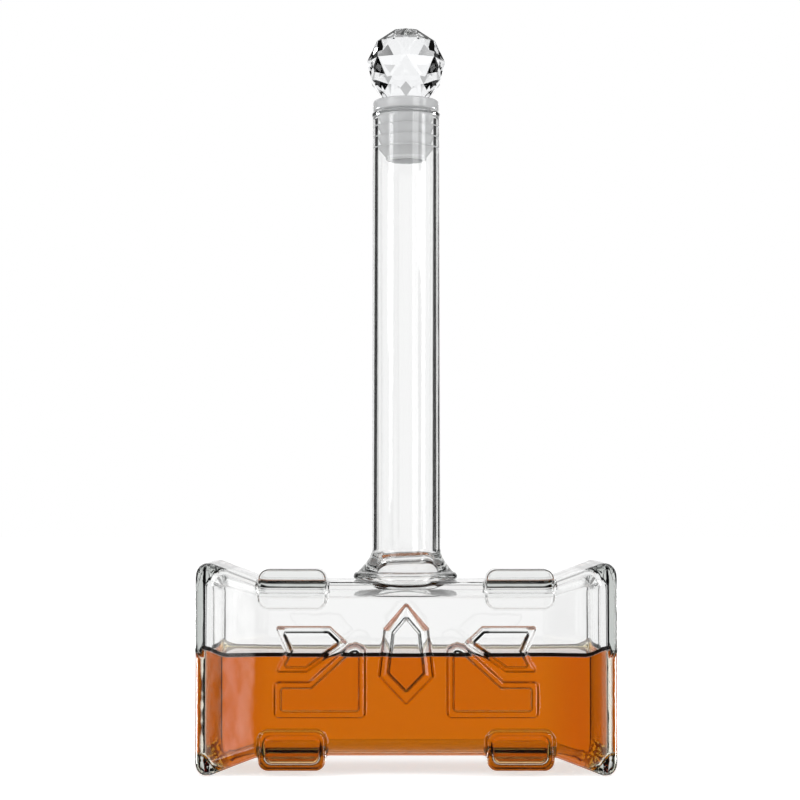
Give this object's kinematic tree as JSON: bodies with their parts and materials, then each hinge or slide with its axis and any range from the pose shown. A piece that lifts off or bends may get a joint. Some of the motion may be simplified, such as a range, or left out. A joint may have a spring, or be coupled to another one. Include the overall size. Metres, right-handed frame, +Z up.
{
  "type": "figural liquor decanter",
  "caption": "Clear glass decanter in the shape of a war hammer, with a long round neck and a faceted glass ball stopper, holding amber liquor.",
  "frame": {"origin": "middle of the surface that the decanter stands on", "axes": "+Z up along the neck, X along the hammer head, -Y towards the front with the raised ornament"},
  "size_m": [0.203, 0.072, 0.3689],
  "materials": {
    "clear_glass": "mould-blown and fire-polished",
    "neck_glass": "drawn tube, fire-polished lip",
    "liquor": "clear amber liquid",
    "plug_plastic": "moulded, translucent",
    "clear_glue": "cured clear adhesive",
    "crystal": "cut and polished"
  },
  "bodies": {
    "decanter": {"head_shell": "clear_glass", "neck_tube": "neck_glass", "spirit_fill": "liquor"},
    "stopper": {"stopper_plug": "plug_plastic", "ball_glue": "clear_glue", "crystal_ball": "crystal"}
  },
  "joints": [
    {"name": "stopper_lift", "type": "slide", "parent": "decanter", "child": "stopper", "axis": [0, 0, 1], "range_m": [0, 0.06]}
  ]
}
